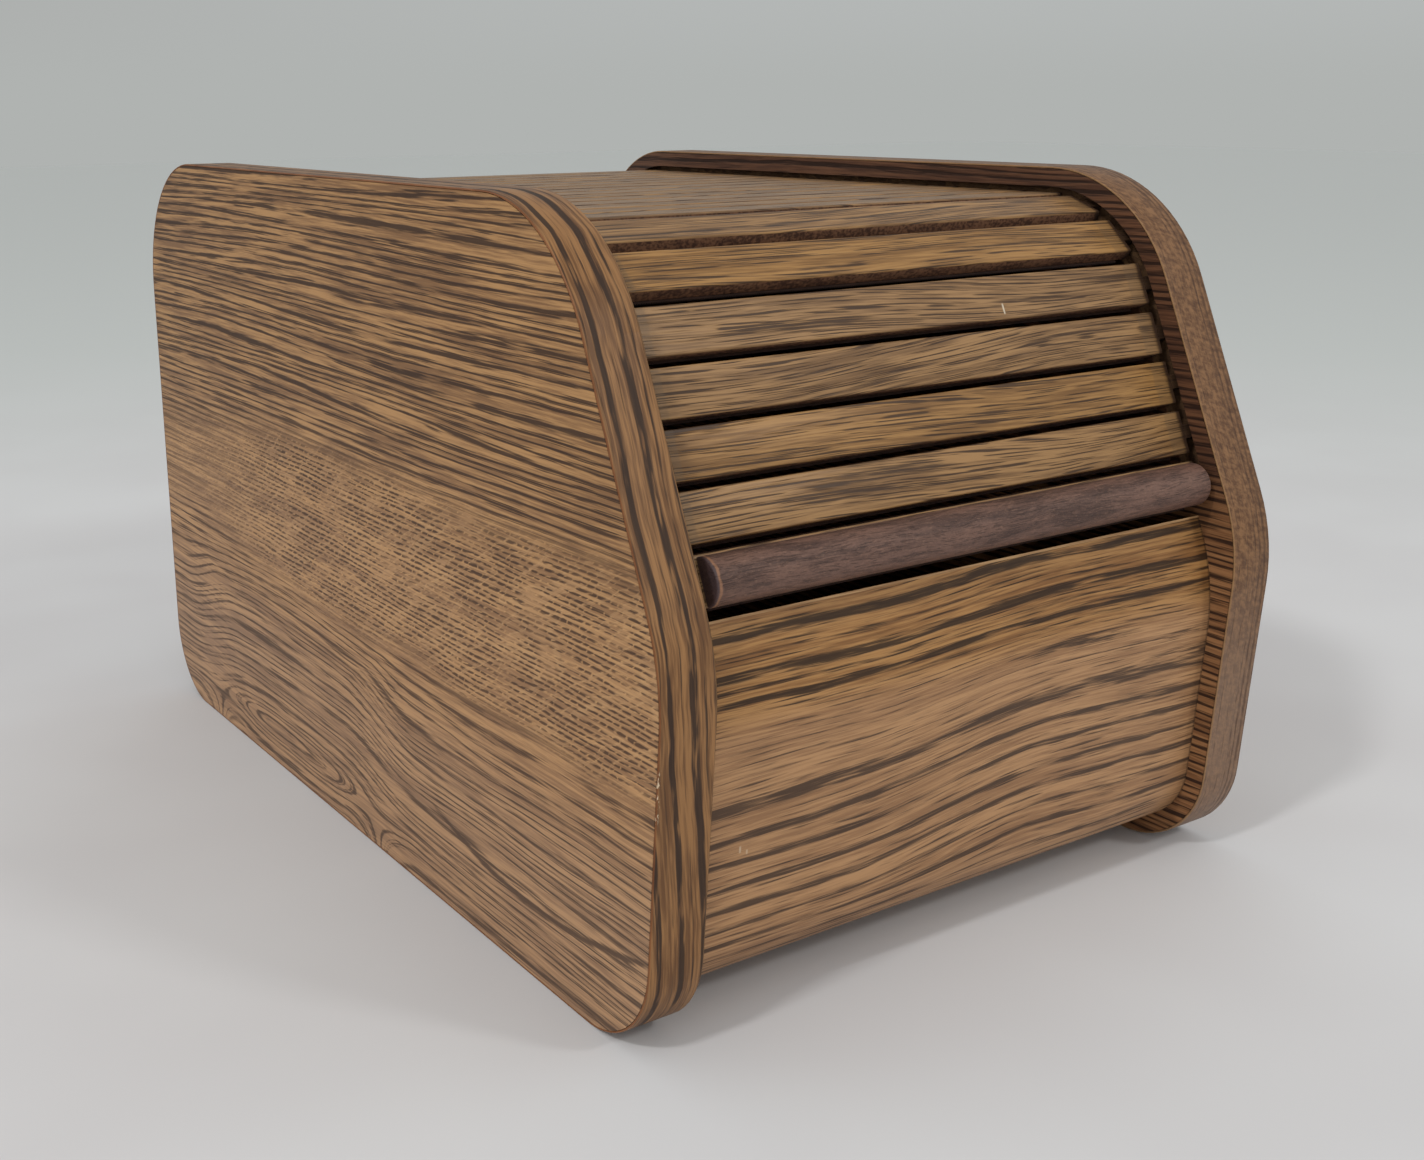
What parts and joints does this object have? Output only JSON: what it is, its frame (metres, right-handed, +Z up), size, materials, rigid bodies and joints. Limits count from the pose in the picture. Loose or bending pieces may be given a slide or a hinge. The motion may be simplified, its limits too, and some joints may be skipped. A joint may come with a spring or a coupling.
{
  "type": "tambour lid box",
  "caption": "Veneered desk box with rounded side boards and a slatted roll lid that runs up the slanted front, over the top and down the back.",
  "frame": {"origin": "middle of the base, on the surface that the box stands on", "axes": "+Z up, -Y to the slanted front with the pull, +X to the right of someone facing the front"},
  "size_m": [0.2638, 0.4148, 0.25],
  "materials": {
    "board_core": "sawn",
    "side_veneer": "satin",
    "edge_veneer": "satin",
    "front_veneer": "satin",
    "panel_ply": "satin",
    "dowel_wood": "sawn",
    "slat_wood": "satin",
    "pull_wood": "satin",
    "canvas": "matte"
  },
  "bodies": {
    "case": {"left_core": "board_core", "left_outer_veneer": "side_veneer", "left_inner_veneer": "side_veneer", "left_edge_band": "edge_veneer", "right_core": "board_core", "right_outer_veneer": "side_veneer", "right_inner_veneer": "side_veneer", "right_edge_band": "edge_veneer", "front_panel": "panel_ply", "front_veneer": "front_veneer", "front_lip": "front_veneer", "bottom_panel": "panel_ply", "back_panel": "panel_ply", "dowels": "dowel_wood"},
    "lid_lead": {"slat_00": "slat_wood", "pull": "pull_wood", "canvas_00": "canvas"},
    "lid_01": {"slat_01": "slat_wood", "canvas_01": "canvas"},
    "lid_02": {"slat_02": "slat_wood", "canvas_02": "canvas"},
    "lid_03": {"slat_03": "slat_wood", "canvas_03": "canvas"},
    "lid_04": {"slat_04": "slat_wood", "canvas_04": "canvas"},
    "lid_05": {"slat_05": "slat_wood", "canvas_05": "canvas"},
    "lid_06": {"slat_06": "slat_wood", "canvas_06": "canvas"},
    "lid_top": {"slat_07": "slat_wood", "slat_08": "slat_wood", "slat_09": "slat_wood", "slat_10": "slat_wood", "slat_11": "slat_wood", "slat_12": "slat_wood", "slat_13": "slat_wood", "slat_14": "slat_wood", "slat_15": "slat_wood", "slat_16": "slat_wood", "slat_17": "slat_wood", "canvas_top": "canvas"},
    "lid_18": {"slat_18": "slat_wood", "canvas_18": "canvas"},
    "lid_19": {"slat_19": "slat_wood", "canvas_19": "canvas"},
    "lid_20": {"slat_20": "slat_wood", "canvas_20": "canvas"},
    "lid_21": {"slat_21": "slat_wood", "canvas_21": "canvas"},
    "lid_22": {"slat_22": "slat_wood", "canvas_22": "canvas"},
    "lid_23": {"slat_23": "slat_wood", "canvas_23": "canvas"},
    "lid_24": {"slat_24": "slat_wood", "canvas_24": "canvas"},
    "lid_25": {"slat_25": "slat_wood", "canvas_25": "canvas"}
  },
  "joints": [
    {"name": "lid_slide", "type": "slide", "parent": "case", "child": "lid_lead", "axis": [0, 0.393, 0.9195], "range_m": [0, 0.07]},
    {"name": "slat_01_turn", "type": "hinge", "parent": "case", "child": "lid_01", "pos_m": [0, 0.38961, -0.06399], "axis": [-1, 0, 0], "range_deg": [0, 6.57]},
    {"name": "slat_02_turn", "type": "hinge", "parent": "case", "child": "lid_02", "pos_m": [0, -0.05902, 0.14468], "axis": [-1, 0, 0], "range_deg": [0, 34.37]},
    {"name": "slat_03_turn", "type": "hinge", "parent": "case", "child": "lid_03", "pos_m": [0, -0.10742, 0.1794], "axis": [-1, 0, 0], "range_deg": [0, 69.69]},
    {"name": "slat_04_turn", "type": "hinge", "parent": "case", "child": "lid_04", "pos_m": [0, -0.11014, 0.18443], "axis": [-1, 0, 0], "range_deg": [0, 77.47]},
    {"name": "slat_05_turn", "type": "hinge", "parent": "case", "child": "lid_05", "pos_m": [0, -0.10002, 0.15584], "axis": [-1, 0, 0], "range_deg": [0, 49.4]},
    {"name": "slat_06_turn", "type": "hinge", "parent": "case", "child": "lid_06", "pos_m": [0, -0.08559, -0.04228], "axis": [-1, 0, 0], "range_deg": [0, 14.55]},
    {"name": "lid_top_slide", "type": "slide", "parent": "case", "child": "lid_top", "axis": [0, 1, 0], "range_m": [0, 0.07]},
    {"name": "slat_18_turn", "type": "hinge", "parent": "case", "child": "lid_18", "pos_m": [0, 0.11263, -0.65653], "axis": [-1, 0, 0], "range_deg": [0, 4.49]},
    {"name": "slat_19_turn", "type": "hinge", "parent": "case", "child": "lid_19", "pos_m": [0, 0.12841, 0.10906], "axis": [-1, 0, 0], "range_deg": [0, 31.09]},
    {"name": "slat_20_turn", "type": "hinge", "parent": "case", "child": "lid_20", "pos_m": [0, 0.14198, 0.18045], "axis": [-1, 0, 0], "range_deg": [0, 70.6]},
    {"name": "slat_21_turn", "type": "hinge", "parent": "case", "child": "lid_21", "pos_m": [0, 0.14922, 0.19185], "axis": [-1, 0, 0], "range_deg": [0, 92.42]},
    {"name": "slat_22_turn", "type": "hinge", "parent": "case", "child": "lid_22", "pos_m": [0, 0.14475, 0.18792], "axis": [-1, 0, 0], "range_deg": [0, 81.5]},
    {"name": "slat_23_turn", "type": "hinge", "parent": "case", "child": "lid_23", "pos_m": [0, 0.11129, 0.17693], "axis": [-1, 0, 0], "range_deg": [0, 48.21]},
    {"name": "slat_24_turn", "type": "hinge", "parent": "case", "child": "lid_24", "pos_m": [0, -0.15788, 0.16216], "axis": [-1, 0, 0], "range_deg": [0, 11.54]},
    {"name": "slat_25_drop", "type": "slide", "parent": "case", "child": "lid_25", "axis": [0, 0, -1], "range_m": [0, 0.07]}
  ],
  "couplings": [
    {"joint": "slat_01_turn", "follows": "lid_slide", "rad_per_m": 1.638},
    {"joint": "slat_02_turn", "follows": "lid_slide", "rad_per_m": 8.5691},
    {"joint": "slat_03_turn", "follows": "lid_slide", "rad_per_m": 17.374},
    {"joint": "slat_04_turn", "follows": "lid_slide", "rad_per_m": 19.316},
    {"joint": "slat_05_turn", "follows": "lid_slide", "rad_per_m": 12.317},
    {"joint": "slat_06_turn", "follows": "lid_slide", "rad_per_m": 3.626},
    {"joint": "lid_top_slide", "follows": "lid_slide", "ratio": 1},
    {"joint": "slat_18_turn", "follows": "lid_slide", "rad_per_m": 1.1195},
    {"joint": "slat_19_turn", "follows": "lid_slide", "rad_per_m": 7.751},
    {"joint": "slat_20_turn", "follows": "lid_slide", "rad_per_m": 17.602},
    {"joint": "slat_21_turn", "follows": "lid_slide", "rad_per_m": 23.043},
    {"joint": "slat_22_turn", "follows": "lid_slide", "rad_per_m": 20.319},
    {"joint": "slat_23_turn", "follows": "lid_slide", "rad_per_m": 12.019},
    {"joint": "slat_24_turn", "follows": "lid_slide", "rad_per_m": 2.8767},
    {"joint": "slat_25_drop", "follows": "lid_slide", "ratio": 1}
  ]
}
